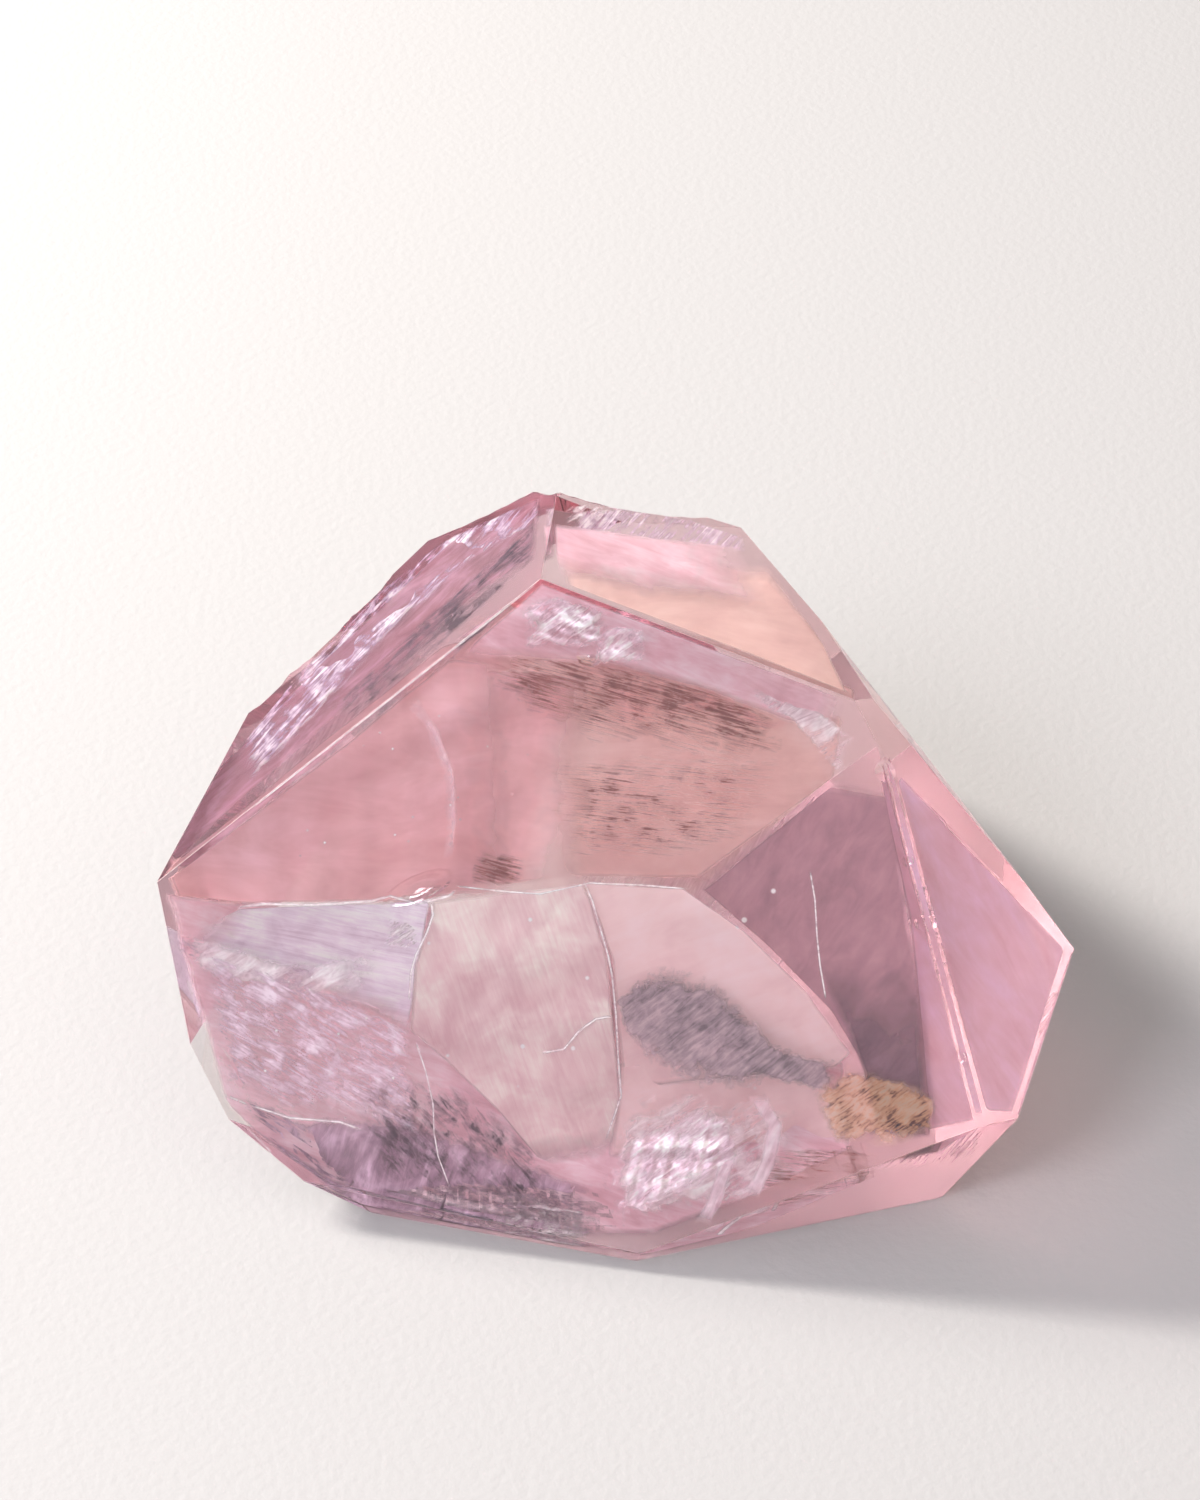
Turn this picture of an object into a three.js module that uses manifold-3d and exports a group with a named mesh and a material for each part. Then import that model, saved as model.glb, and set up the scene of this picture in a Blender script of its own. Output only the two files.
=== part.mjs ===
// A clear rose quartz stone, cut with flat polished faces in a free form.
// Millimetres, +Z up, +X to the viewer's right, -Y towards the viewer, resting on z = 0.
import * as THREE from 'three';
import { ConvexGeometry } from 'three/addons/geometries/ConvexGeometry.js';
import { mergeVertices } from 'three/addons/utils/BufferGeometryUtils.js';
import Module from 'manifold-3d';

const wasm = await Module();
wasm.setup();

// Each polished face is one plane. turn is where it faces, in degrees round from the viewer
// towards the right. lean is how far it looks up (or down, if negative), in degrees.
// reach is how far its plane lies from the middle of the foot, in millimetres.
const FACES = {
  base: { turn: 180, lean: -90, reach: 0 },
  front: { turn: -10, lean: 35, reach: 21.2 },
  upper_left: { turn: -89, lean: 54, reach: 32.2 },
  upper_right: { turn: 56, lean: 77.5, reach: 34.7 },
  right: { turn: 13, lean: 39.5, reach: 28.1 },
  right_top: { turn: 27, lean: 46, reach: 31.8 },
  worn_ridge: { turn: 1.15, lean: 37.8, reach: 24.92 },
  toe_right: { turn: 16, lean: -21.5, reach: 23.2 },
  toe_left: { turn: -14, lean: -16, reach: 23.4 },
  under_right: { turn: 87.5, lean: -23, reach: 21 },
  back_right: { turn: 108, lean: 36.5, reach: 30.2 },
  back_right_top: { turn: 118.5, lean: 25, reach: 25 },
  left_back: { turn: -129.5, lean: -46, reach: 1.7 },
  left: { turn: -125, lean: -32.5, reach: 7.1 },
  back_left: { turn: -143.5, lean: 8.4, reach: 21.1 },
  back_left_top: { turn: -174.6, lean: 28.1, reach: 26.45 },
  back: { turn: 159, lean: 34.5, reach: 28.4 },
  left_under: { turn: -83.5, lean: -58.5, reach: 9.5 },
};
const ON_FACE_TOLERANCE = 1e-4;

// A natural break leaves a shallow shell-shaped dish with faint rings round the point of the blow.
const CREST_SCAR = { radius: 6.5, depth: 0.9, rings: 4, ripple: 0.035 };
const PEAK_CHIP = { radius: 1.9, depth: 0.8, rings: 2, ripple: 0.03 };
const HIP_SCAR = { radius: 8, depth: 0.6, rings: 4, ripple: 0.035 };
const HEEL_SCAR = { radius: 4, depth: 0.8, rings: 3, ripple: 0.035 };
const SHOULDER_SCARS = [
  { along: 0.38, radius: 2.4, depth: 0.28, rings: 2, ripple: 0.02 },
  { along: 0.62, radius: 3.6, depth: 0.35, rings: 3, ripple: 0.03 },
  { along: 0.9, radius: 2.2, depth: 0.3, rings: 2, ripple: 0.02 },
];
const FRONT_NICK = { x: -12.7, z: 19.2, radius: 2.6, depth: 0.35, rings: 2, ripple: 0.02, squash: 0.36 };
const TINY_NICK = { x: -1.6, z: 32.7, radius: 0.75, depth: 0.3, rings: 1, ripple: 0.01 };
const RIDGE_NICKS = [
  { along: 0.08, radius: 0.8, depth: 0.2, rings: 1, ripple: 0.01 },
  { along: 0.31, radius: 0.45, depth: 0.14, rings: 1, ripple: 0.01 },
  { along: 0.47, radius: 0.95, depth: 0.16, rings: 1, ripple: 0.01, squash: 0.6 },
  { along: 0.82, radius: 0.55, depth: 0.18, rings: 1, ripple: 0.01 },
];
const RING_STEPS = 4;
const DISH_LIP = 3;

const COLOUR = 0xe3a9ae;
const ROUGHNESS = 0.04;

function facing({ turn, lean }) {
  const round = THREE.MathUtils.degToRad(turn);
  const up = THREE.MathUtils.degToRad(lean);
  const out = Math.cos(up);
  return new THREE.Vector3(Math.sin(round) * out, -Math.cos(round) * out, Math.sin(up));
}

// The point where three faces' planes cross.
function corner(...names) {
  const [a, b, c] = names.map((name) => facing(FACES[name]));
  const [p, q, r] = names.map((name) => FACES[name].reach);
  const spread = a.dot(new THREE.Vector3().crossVectors(b, c));
  if (Math.abs(spread) < ON_FACE_TOLERANCE) return null;
  const point = new THREE.Vector3().crossVectors(b, c).multiplyScalar(p);
  point.addScaledVector(new THREE.Vector3().crossVectors(c, a), q);
  point.addScaledVector(new THREE.Vector3().crossVectors(a, b), r);
  return point.divideScalar(spread);
}

// The corners of the stone are the crossings that lie behind every face.
function stoneCorners() {
  const names = Object.keys(FACES);
  const inside = (point) => names.every(
    (name) => facing(FACES[name]).dot(point) < FACES[name].reach + ON_FACE_TOLERANCE,
  );
  const points = [];
  names.forEach((a, i) => names.slice(i + 1).forEach((b, j) => {
    names.slice(i + j + 2).forEach((c) => {
      const point = corner(a, b, c);
      if (point && inside(point)) points.push(point);
    });
  }));
  return points;
}

function pointOnFace(name, x, z) {
  const out = facing(FACES[name]);
  return new THREE.Vector3(x, (FACES[name].reach - out.x * x - out.z * z) / out.y, z);
}

function solidOf(geometry) {
  const bare = geometry.clone();
  bare.deleteAttribute('normal');
  bare.deleteAttribute('uv');
  const joined = mergeVertices(bare, ON_FACE_TOLERANCE);
  return new wasm.Manifold(new wasm.Mesh({
    numProp: 3,
    vertProperties: new Float32Array(joined.attributes.position.array),
    triVerts: new Uint32Array(joined.index.array),
  }));
}

// The body that a blow takes away: a dish with rings, closed above the face it is struck into.
function dish({ radius, depth, rings, ripple, squash = 1 }, at, out) {
  const steps = rings * RING_STEPS;
  const profile = [new THREE.Vector2(0, -depth)];
  for (let i = 1; i <= steps; i += 1) {
    const share = i / steps;
    const ring = ripple * Math.sin(share ** 1.4 * rings * 2 * Math.PI);
    profile.push(new THREE.Vector2(radius * share, -depth * (1 - share * share) + ring));
  }
  profile.push(new THREE.Vector2(radius * 1.3, depth * 0.7));
  profile.push(new THREE.Vector2(radius * 1.3, DISH_LIP));
  profile.push(new THREE.Vector2(0, DISH_LIP));
  const sides = Math.round(THREE.MathUtils.clamp(8 + 3 * radius, 10, 28));
  const geometry = new THREE.LatheGeometry(profile, sides);
  geometry.scale(1, 1, squash);
  const turned = new THREE.Quaternion().setFromUnitVectors(new THREE.Vector3(0, 1, 0), out);
  geometry.applyQuaternion(turned);
  geometry.translate(at.x, at.y, at.z);
  return solidOf(geometry);
}

function between(...names) {
  const sum = new THREE.Vector3();
  names.forEach((name) => sum.add(facing(FACES[name])));
  return sum.normalize();
}

// The natural breaks at the peak, along the crest and the left shoulder, and at the back foot.
function edgeScars() {
  const peak = corner('upper_left', 'upper_right', 'back_left_top');
  const crestEnd = corner('upper_right', 'back', 'back_right_top');
  const shoulder = corner('upper_left', 'left', 'back_left');
  const hip = corner('upper_left', 'back_left', 'back_left_top');
  const heel = corner('left_back', 'back', 'back_right_top');
  const crest = peak.clone().lerp(crestEnd, 0.45);
  return [
    dish(CREST_SCAR, crest, between('back', 'back_left_top')),
    dish(PEAK_CHIP, peak, between('upper_left', 'back_left_top')),
    dish(HIP_SCAR, hip, facing(FACES.back_left_top)),
    dish(HEEL_SCAR, heel, between('back', 'back_right_top')),
    ...SHOULDER_SCARS.map((scar) => (
      dish(scar, hip.clone().lerp(shoulder, scar.along), between('upper_left', 'back_left'))
    )),
  ];
}

// The small nicks in the polished front and along its ridge with the right face.
function polishedFaceNicks() {
  const nick = pointOnFace('front', FRONT_NICK.x, FRONT_NICK.z);
  const tiny = pointOnFace('front', TINY_NICK.x, TINY_NICK.z);
  const high = corner('front', 'worn_ridge', 'right_top');
  const low = corner('front', 'worn_ridge', 'toe_right');
  return [
    dish(FRONT_NICK, nick, facing(FACES.front)),
    dish(TINY_NICK, tiny, facing(FACES.front)),
    ...RIDGE_NICKS.map((scar) => (
      dish(scar, high.clone().lerp(low, scar.along), facing(FACES.worn_ridge))
    )),
  ];
}

function stoneGeometry() {
  let stone = solidOf(new ConvexGeometry(stoneCorners()));
  [...edgeScars(), ...polishedFaceNicks()].forEach((cut) => {
    stone = stone.subtract(cut);
  });
  const { vertProperties, triVerts } = stone.getMesh();
  const geometry = new THREE.BufferGeometry();
  geometry.setAttribute('position', new THREE.BufferAttribute(vertProperties, 3));
  geometry.setIndex(new THREE.BufferAttribute(triVerts, 1));
  geometry.computeBoundingBox();
  const middle = geometry.boundingBox.getCenter(new THREE.Vector3());
  geometry.translate(-middle.x, -middle.y, -geometry.boundingBox.min.z);
  return geometry;
}

const quartz = new THREE.MeshStandardMaterial({
  color: COLOUR,
  roughness: ROUGHNESS,
  metalness: 0,
  flatShading: true,
});
const stone = new THREE.Mesh(stoneGeometry(), quartz);
stone.name = 'rose_quartz';

const specimen = new THREE.Group();
specimen.add(stone);

export default specimen;
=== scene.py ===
import math
import bmesh
import bpy
import numpy as np
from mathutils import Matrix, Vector


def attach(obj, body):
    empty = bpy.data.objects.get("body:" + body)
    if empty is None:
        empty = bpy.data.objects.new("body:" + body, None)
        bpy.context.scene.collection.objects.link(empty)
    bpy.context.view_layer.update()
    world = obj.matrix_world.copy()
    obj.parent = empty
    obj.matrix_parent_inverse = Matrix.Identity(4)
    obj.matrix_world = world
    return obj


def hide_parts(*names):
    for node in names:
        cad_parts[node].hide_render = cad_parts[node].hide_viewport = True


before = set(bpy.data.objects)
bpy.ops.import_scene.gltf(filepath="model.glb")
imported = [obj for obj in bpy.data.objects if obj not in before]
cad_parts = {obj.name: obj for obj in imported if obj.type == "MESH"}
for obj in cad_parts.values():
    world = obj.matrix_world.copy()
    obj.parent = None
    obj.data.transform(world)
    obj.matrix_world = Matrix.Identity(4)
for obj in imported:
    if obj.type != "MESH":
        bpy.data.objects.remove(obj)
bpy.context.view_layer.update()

# Camera
# The photograph looks down at the stone by about 40 degrees from a third of a metre away,
# through a long lens, with the stone low in the frame.
lens_mm, sensor_mm = 109.8, 36
eye = np.array([-0.74, -234.77, 218.45])
target = np.array([-0.74, -4.95, 25.62])
camera_data = bpy.data.cameras.new("camera")
camera_data.sensor_fit = "VERTICAL"
camera_data.sensor_height = sensor_mm
camera_data.lens = lens_mm
camera_data.clip_start = 0.01
camera_data.clip_end = 20
camera = bpy.data.objects.new("camera", camera_data)
bpy.context.collection.objects.link(camera)
camera.location = Vector(eye) / 1000
camera.rotation_euler = Vector(target - eye).to_track_quat("-Z", "Y").to_euler()
bpy.context.scene.camera = camera


# Floor and studio
# A pale matt paper floor, a soft lamp from the back left, a weaker one from the front left, and
# an even pale room, warmer on the right and brightest above the viewer. None of it is the stone.
def linear(hex_colour):
    """sRGB hex to linear: below 0.04045 divided by 12.92, above it ((c + 0.055) / 1.055) ** 2.4."""
    c = np.array([int(hex_colour[i:i + 2], 16) / 255 for i in (1, 3, 5)])
    c = np.where(c <= 0.04045, c / 12.92, ((c + 0.055) / 1.055) ** 2.4)
    return (*[float(v) for v in c], 1.0)


def add(tree, kind, links=None, **settings):
    """Adds one node. A setting names a property or a socket; links join a socket to an output."""
    node = tree.nodes.new(kind)
    for key, value in settings.items():
        if hasattr(node, key):
            setattr(node, key, value)
        else:
            node.inputs[key.replace("_", " ")].default_value = value
    for key, output in (links or {}).items():
        tree.links.new(output, node.inputs[key])
    return node


def link_mesh(name, points, faces, smooth=True):
    """A mesh object at the origin from points in millimetres and faces."""
    mesh = bpy.data.meshes.new(name)
    mesh.from_pydata((np.asarray(points) / 1000).tolist(), [], faces)
    mesh.polygons.foreach_set("use_smooth", [smooth] * len(mesh.polygons))
    mesh.update()
    piece = bpy.data.objects.new(name, mesh)
    bpy.context.collection.objects.link(piece)
    return piece


half_width, drop = 2500, -0.03
corners = [(x * half_width, y * half_width, drop) for x, y in ((-1, -1), (1, -1), (1, 1), (-1, 1))]
floor = link_mesh("floor", corners, [(0, 1, 2, 3)], smooth=False)
# Matt uncoated paper scatters light evenly: no gloss, and a faint grain. Its fibres are too fine
# to show, so the grain is drawn at about 0.7 mm.
paper = bpy.data.materials.new("matt white paper")
paper.use_nodes = True
tree = paper.node_tree
tree.nodes.clear()
place = add(tree, "ShaderNodeTexCoord")
grain = add(tree, "ShaderNodeTexNoise", {"Vector": place.outputs["Object"]}, Scale=1400, Detail=3)
relief = add(tree, "ShaderNodeBump", {"Height": grain.outputs["Fac"]}, Strength=0.25, Distance=0.0002)
shade = add(tree, "ShaderNodeBsdfPrincipled", {"Normal": relief.outputs["Normal"]},
            Base_Color=linear("#9A9A9A"), Roughness=0.9)
add(tree, "ShaderNodeOutputMaterial", {"Surface": shade.outputs["BSDF"]})
floor.data.materials.append(paper)


def softbox(name, place_mm, look_mm, width, height, watts, colour):
    """An area lamp at place_mm turned to look_mm, its sides in millimetres."""
    lamp = bpy.data.lights.new(name, "AREA")
    lamp.shape = "RECTANGLE"
    lamp.size, lamp.size_y = width / 1000, height / 1000
    lamp.energy = watts
    lamp.color = linear(colour)[:3]
    holder = bpy.data.objects.new(name, lamp)
    bpy.context.collection.objects.link(holder)
    holder.location = Vector(place_mm) / 1000
    holder.rotation_euler = (Vector(look_mm) - Vector(place_mm)).to_track_quat("-Z", "Y").to_euler()
    return holder


softbox("key", place_mm=(-420, 230, 300), look_mm=(0, 0, 15), width=120, height=120,
        watts=8.0, colour="#FFF8F0")
softbox("fill", place_mm=(-260, -330, 420), look_mm=(0, 0, 15), width=200, height=200,
        watts=2.2, colour="#FAF6FF")

world = bpy.data.worlds.new("studio")
bpy.context.scene.world = world
world.use_nodes = True
tree = world.node_tree
tree.nodes.clear()
place = add(tree, "ShaderNodeTexCoord")
axes = add(tree, "ShaderNodeSeparateXYZ", {"Vector": place.outputs["Generated"]})
side = add(tree, "ShaderNodeMapRange", {"Value": axes.outputs["X"]}, interpolation_type="SMOOTHSTEP",
           From_Min=-0.6, From_Max=0.8)
wall = add(tree, "ShaderNodeMix", {"Factor": side.outputs["Result"]}, data_type="RGBA")
wall.inputs["A"].default_value = linear("#C8CAD4")
wall.inputs["B"].default_value = linear("#E8DACE")
brightest_way = (-0.25, -0.5, 0.83)
facing = add(tree, "ShaderNodeVectorMath", {0: place.outputs["Generated"]}, operation="DOT_PRODUCT")
facing.inputs[1].default_value = brightest_way
near = add(tree, "ShaderNodeMapRange", {"Value": facing.outputs["Value"]}, interpolation_type="SMOOTHSTEP",
           From_Min=0.35, From_Max=0.95, To_Min=0.9, To_Max=1.9)
light = add(tree, "ShaderNodeBackground",
            {"Color": wall.outputs["Result"], "Strength": near.outputs["Result"]})
add(tree, "ShaderNodeOutputWorld", {"Surface": light.outputs["Background"]})

# The stone
# One piece of clear rose quartz, ground and polished to flat faces, with natural breaks along
# its crest. The mesh is the solid's own, merged, with its sharp edges worn round and its base
# left finely ground.

# Lengths are in metres here and areas in square metres, as in the solid's own mesh.
weld, wear_width = 2e-6, 0.00012
flat_angle, sharp_angle = math.radians(0.4), math.radians(14)
facet_area, facet_edge = 2e-6, 0.0015
worn_finish, ground_finish = 0.7, 1.0
facing_down = -0.99
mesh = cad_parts["rose_quartz"].data.copy()
mesh.name = "stone"
work = bmesh.new()
work.from_mesh(mesh)
bmesh.ops.remove_doubles(work, verts=work.verts, dist=weld)
bmesh.ops.dissolve_limit(work, angle_limit=flat_angle, verts=work.verts, edges=work.edges)
wear = work.faces.layers.float.new("ground")
sharp = [e for e in work.edges if e.is_manifold and e.calc_face_angle() > sharp_angle
         and min(f.calc_area() for f in e.link_faces) > facet_area and e.calc_length() > facet_edge]
worn = bmesh.ops.bevel(work, geom=sharp, offset=wear_width, segments=2, profile=0.5,
                       affect="EDGES", clamp_overlap=True)
for face in worn["faces"]:
    face[wear] = worn_finish
work.to_mesh(mesh)
work.free()
if mesh.has_custom_normals:
    mesh.attributes.remove(mesh.attributes["custom_normal"])
mesh.polygons.foreach_set("use_smooth", [False] * len(mesh.polygons))
mesh.materials.clear()
mesh.update()
stone = bpy.data.objects.new("stone", mesh)
bpy.context.collection.objects.link(stone)

# The large faces as planes, for tracing the sight lines into the stone.
normals = np.empty(len(mesh.polygons) * 3)
mesh.polygons.foreach_get("normal", normals)
normals = normals.reshape(-1, 3)
centres = np.empty(len(mesh.polygons) * 3)
mesh.polygons.foreach_get("center", centres)
centres = centres.reshape(-1, 3) * 1000
areas = np.empty(len(mesh.polygons))
mesh.polygons.foreach_get("area", areas)
large = areas > facet_area
plane_normals = normals[large]
plane_reach = (plane_normals * centres[large]).sum(1)
ground = np.empty(len(mesh.polygons))
mesh.attributes["ground"].data.foreach_get("value", ground)
ground[normals[:, 2] < facing_down] = ground_finish
mesh.attributes["ground"].data.foreach_set("value", ground)

# Clear quartz bends light by its IOR of 1.544, and its pink deepens with the way that light runs
# through it. Polish leaves a face with no roughness, grinding leaves it satin.
quartz_ior = 1.544
quartz = bpy.data.materials.new("polished rose quartz")
quartz.use_nodes = True
tree = quartz.node_tree
tree.nodes.clear()
finish = add(tree, "ShaderNodeAttribute", attribute_name="ground")
rough = add(tree, "ShaderNodeMapRange", {"Value": finish.outputs["Fac"]}, To_Min=0.0, To_Max=0.5)
shade = add(tree, "ShaderNodeBsdfPrincipled", {"Roughness": rough.outputs["Result"]},
            Base_Color=linear("#FFFFFF"), IOR=quartz_ior, Transmission_Weight=1)
dye = add(tree, "ShaderNodeVolumeAbsorption", Color=linear("#F37C9E"), Density=13)
add(tree, "ShaderNodeOutputMaterial", {"Surface": shade.outputs["BSDF"], "Volume": dye.outputs["Volume"]})
mesh.materials.append(quartz)
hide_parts("rose_quartz")
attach(stone, "root")


# Cracks and veils
# Healed and open cracks inside the stone: thin gently curved sheets, frosted white where air
# has got in, with fine feather lines. Three plates start at the hairline across the front and
# dip back into the stone. Each is placed by where the photograph shows it and by its depth.

# The photograph's size in pixels, and how many of them make a millimetre across the stone.
photo_width, photo_height = 1200, 1500
pixels_per_mm = 15.25


def sight_lines(pixels):
    """Where the sight lines of photograph pixels enter the stone, their direction inside after
    Snell's law, how squarely they run to the face inside, and how far they run to the far side.
    A line enters by the last of the planes that it crosses from outside, and leaves by the first
    that it crosses from inside."""
    far, nearly_none = 1e9, 1e-6
    forward = (target - eye) / np.linalg.norm(target - eye)
    right = np.cross(forward, (0, 0, 1))
    right /= np.linalg.norm(right)
    up = np.cross(right, forward)
    focal = lens_mm / sensor_mm * photo_height
    across = (pixels[:, :1] - photo_width / 2) / focal
    down = (pixels[:, 1:2] - photo_height / 2) / focal
    rays = forward + right * across - up * down
    rays /= np.linalg.norm(rays, axis=1, keepdims=True)
    slope = rays @ plane_normals.T
    distance = (plane_reach - plane_normals @ eye) / slope
    distance = np.where(slope < 0, distance, -far)
    face = distance.argmax(1)
    start = eye + rays * distance.max(1)[:, None]
    normal = plane_normals[face]
    cosine = -(rays * normal).sum(1, keepdims=True)
    bent = np.sqrt(1 - (1 - cosine ** 2) / quartz_ior ** 2)
    rays = rays / quartz_ior + (cosine / quartz_ior - bent) * normal
    slope = rays @ plane_normals.T
    run = (plane_reach - start @ plane_normals.T) / np.where(slope > nearly_none, slope, 1)
    run = np.where(slope > nearly_none, run, far).min(1)
    return start, rays, bent[:, 0], run


def wrinkle(u, v, seed, size):
    """A smooth random height: the mean of eight sine waves across u and v, each in its own
    direction with a wavelength between half of size and twice size, in millimetres."""
    waves = 8
    pick = np.random.default_rng(seed)
    turns = pick.uniform(0, np.pi, waves)
    stretches = pick.uniform(0.5, 2, waves)
    phases = pick.uniform(0, 7, waves)
    total = np.zeros_like(u)
    for turn, stretch, phase in zip(turns, stretches, phases):
        total += np.sin((u * np.cos(turn) + v * np.sin(turn)) * 2 * np.pi / (size * stretch) + phase)
    return total / waves


def spread(path, count):
    """count points evenly spaced along a path of straight steps: each coordinate is interpolated
    by the length run along the path."""
    path = np.array(path, float)
    steps = np.linalg.norm(np.diff(path[:, :2], axis=0), axis=1)
    run = np.concatenate([[0], np.cumsum(steps)])
    at = np.linspace(0, run[-1], count)
    return np.stack([np.interp(at, run, path[:, i]) for i in range(path.shape[1])], 1)


def crack(name, material, top, bottom, bow=0.0, crumple=0.0, size=3.0,
          fades=(0.1, 0.1, 0.1, 0.1), seed=1, grid=(60, 30)):
    """A sheet ruled between two edges. Each edge is a path of (x, y, depth): two photograph pixels
    and a depth in millimetres under the face. Between them the depth bows by a half sine wave
    each way and crumples by wrinkle. fades gives how much of the sheet fades out at its start,
    end, top and bottom. The attribute plan holds each point's place across the photograph in mm."""
    least_depth, far_margin = 0.04, 0.15
    least_fade, pattern_step = 1e-3, 3.7
    columns, rows = grid
    first, last = spread(top, columns), spread(bottom, columns)
    share = np.linspace(0, 1, rows)[:, None, None]
    field = first * (1 - share) + last * share
    v, u = np.meshgrid(np.linspace(0, 1, rows), np.linspace(0, 1, columns), indexing="ij")
    across, down = field[..., 0] / pixels_per_mm, field[..., 1] / pixels_per_mm
    depth = field[..., 2] + bow * np.sin(np.pi * v) * np.sin(np.pi * u)
    depth = depth + crumple * wrinkle(across, down, seed, size)
    start, rays, bent, run = sight_lines(field[..., :2].reshape(-1, 2))
    furthest = np.maximum(run - far_margin, least_depth)
    reach = np.clip(depth.ravel() / bent, least_depth, furthest)
    points = start + rays * reach[:, None]
    index = np.arange(rows * columns).reshape(rows, columns)
    faces = np.stack([index[:-1, :-1], index[1:, :-1], index[1:, 1:], index[:-1, 1:]], -1)
    piece = link_mesh(name, points, faces.reshape(-1, 4).tolist())
    left, right, over, under = [max(fade, least_fade) for fade in fades]
    strength = np.minimum.reduce([u / left, (1 - u) / right, v / over, (1 - v) / under]).clip(0, 1)
    piece.data.attributes.new("strength", "FLOAT", "POINT").data.foreach_set("value", strength.ravel())
    plan = np.stack([across, down, np.full_like(u, seed * pattern_step)], -1)
    piece.data.attributes.new("plan", "FLOAT_VECTOR", "POINT").data.foreach_set("vector", plan.ravel())
    piece.data.materials.append(material)
    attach(piece, "root")
    return piece


def film(name, shades, alpha, streak, cloud, edges, fine=0.55, rough=0.4, metal=0.0, turn=0.0,
         ragged=0.5, specks=0.0, bump=0.0):
    """The finish of a crack: a thin film of air, bubbles or iron oxide. Its pattern mixes streaks
    (streak is their length and width in mm, turn how many degrees they rise to the right) with
    clouds (cloud is their size in mm), and fine is the share of streaks. Between the two edges
    values the pattern goes from 0 to 1, which carries the opacity from alpha[0] to alpha[1] and
    the colour through the shades. ragged is how far clouds eat into the faded border, specks the
    distance between white specks in mm, and bump the height of the relief in mm."""
    # Inside quartz a film mirrors less than it would in air, so its IOR is low.
    film_ior = 1.3
    material = bpy.data.materials.new(name)
    material.use_nodes = True
    tree = material.node_tree
    tree.nodes.clear()
    plan = add(tree, "ShaderNodeAttribute", attribute_name="plan")
    turned = add(tree, "ShaderNodeMapping", {"Vector": plan.outputs["Vector"]},
                 Rotation=(0, 0, math.radians(turn)))
    placed = add(tree, "ShaderNodeMapping", {"Vector": turned.outputs["Vector"]},
                 Scale=(1 / streak[0], 1 / streak[1], 1))
    lines = add(tree, "ShaderNodeTexNoise", {"Vector": placed.outputs["Vector"]},
                Scale=1, Detail=4, Roughness=0.68, Distortion=0.6)
    clouds = add(tree, "ShaderNodeTexNoise", {"Vector": plan.outputs["Vector"]},
                 Scale=1 / cloud, Detail=3, Roughness=0.6, Distortion=0.4)
    both = add(tree, "ShaderNodeMix", {"A": clouds.outputs["Fac"], "B": lines.outputs["Fac"]}, Factor=fine)
    stroke = add(tree, "ShaderNodeMapRange", {"Value": both.outputs["Result"]},
                 From_Min=edges[0], From_Max=edges[1])
    cover = add(tree, "ShaderNodeMapRange", {"Value": stroke.outputs["Result"]},
                To_Min=alpha[0], To_Max=alpha[1])
    bite = add(tree, "ShaderNodeMapRange", {"Value": clouds.outputs["Fac"]}, From_Min=0.3, From_Max=0.7,
               To_Min=0.0, To_Max=-ragged)
    strength = add(tree, "ShaderNodeAttribute", attribute_name="strength")
    border = add(tree, "ShaderNodeMath", {0: strength.outputs["Fac"], 2: bite.outputs["Result"]},
                 operation="MULTIPLY_ADD", use_clamp=True)
    border.inputs[1].default_value = 1 + ragged
    opacity = add(tree, "ShaderNodeMath", {0: cover.outputs["Result"], 1: border.outputs["Value"]},
                  operation="MULTIPLY")
    ramp = add(tree, "ShaderNodeValToRGB", {"Fac": stroke.outputs["Result"]})
    while len(ramp.color_ramp.elements) < len(shades):
        ramp.color_ramp.elements.new(0.5)
    for i, tone in enumerate(shades):
        ramp.color_ramp.elements[i].position = i / (len(shades) - 1)
        ramp.color_ramp.elements[i].color = linear(tone)
    colour, seen = ramp.outputs["Color"], opacity.outputs["Value"]
    if specks:
        # A speck is a soft dot, a tenth to a sixth of the distance between specks across.
        cells = add(tree, "ShaderNodeTexVoronoi", {"Vector": plan.outputs["Vector"]}, Scale=1 / specks)
        dot = add(tree, "ShaderNodeMapRange", {"Value": cells.outputs["Distance"]},
                  From_Min=0.085, From_Max=0.05)
        white = add(tree, "ShaderNodeMix", {"Factor": dot.outputs["Result"], "A": colour}, data_type="RGBA")
        white.inputs["B"].default_value = linear("#FFFFFF")
        dotted = add(tree, "ShaderNodeMath", {0: dot.outputs["Result"], 1: strength.outputs["Fac"]},
                     operation="MULTIPLY")
        most = add(tree, "ShaderNodeMath", {0: seen, 1: dotted.outputs["Value"]}, operation="MAXIMUM")
        colour, seen = white.outputs["Result"], most.outputs["Value"]
    shade = add(tree, "ShaderNodeBsdfPrincipled", {"Base Color": colour, "Alpha": seen},
                Roughness=rough, Metallic=metal, IOR=film_ior)
    if bump:
        relief = add(tree, "ShaderNodeBump", {"Height": both.outputs["Result"]},
                     Strength=1.0, Distance=bump / 1000)
        tree.links.new(relief.outputs["Normal"], shade.inputs["Normal"])
    add(tree, "ShaderNodeOutputMaterial", {"Surface": shade.outputs["BSDF"]})
    return material


# Frosted quartz: air in the crack scatters white light, with a lavender tint in its shadows.
frosted = film("frosted crack in quartz", ["#E2D0E2", "#F6EAF8", "#FFFFFF"],
               alpha=(0.85, 1.0), streak=(4, 0.35), cloud=2.5, edges=(0.36, 0.62), turn=-12, specks=1.6)
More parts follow.
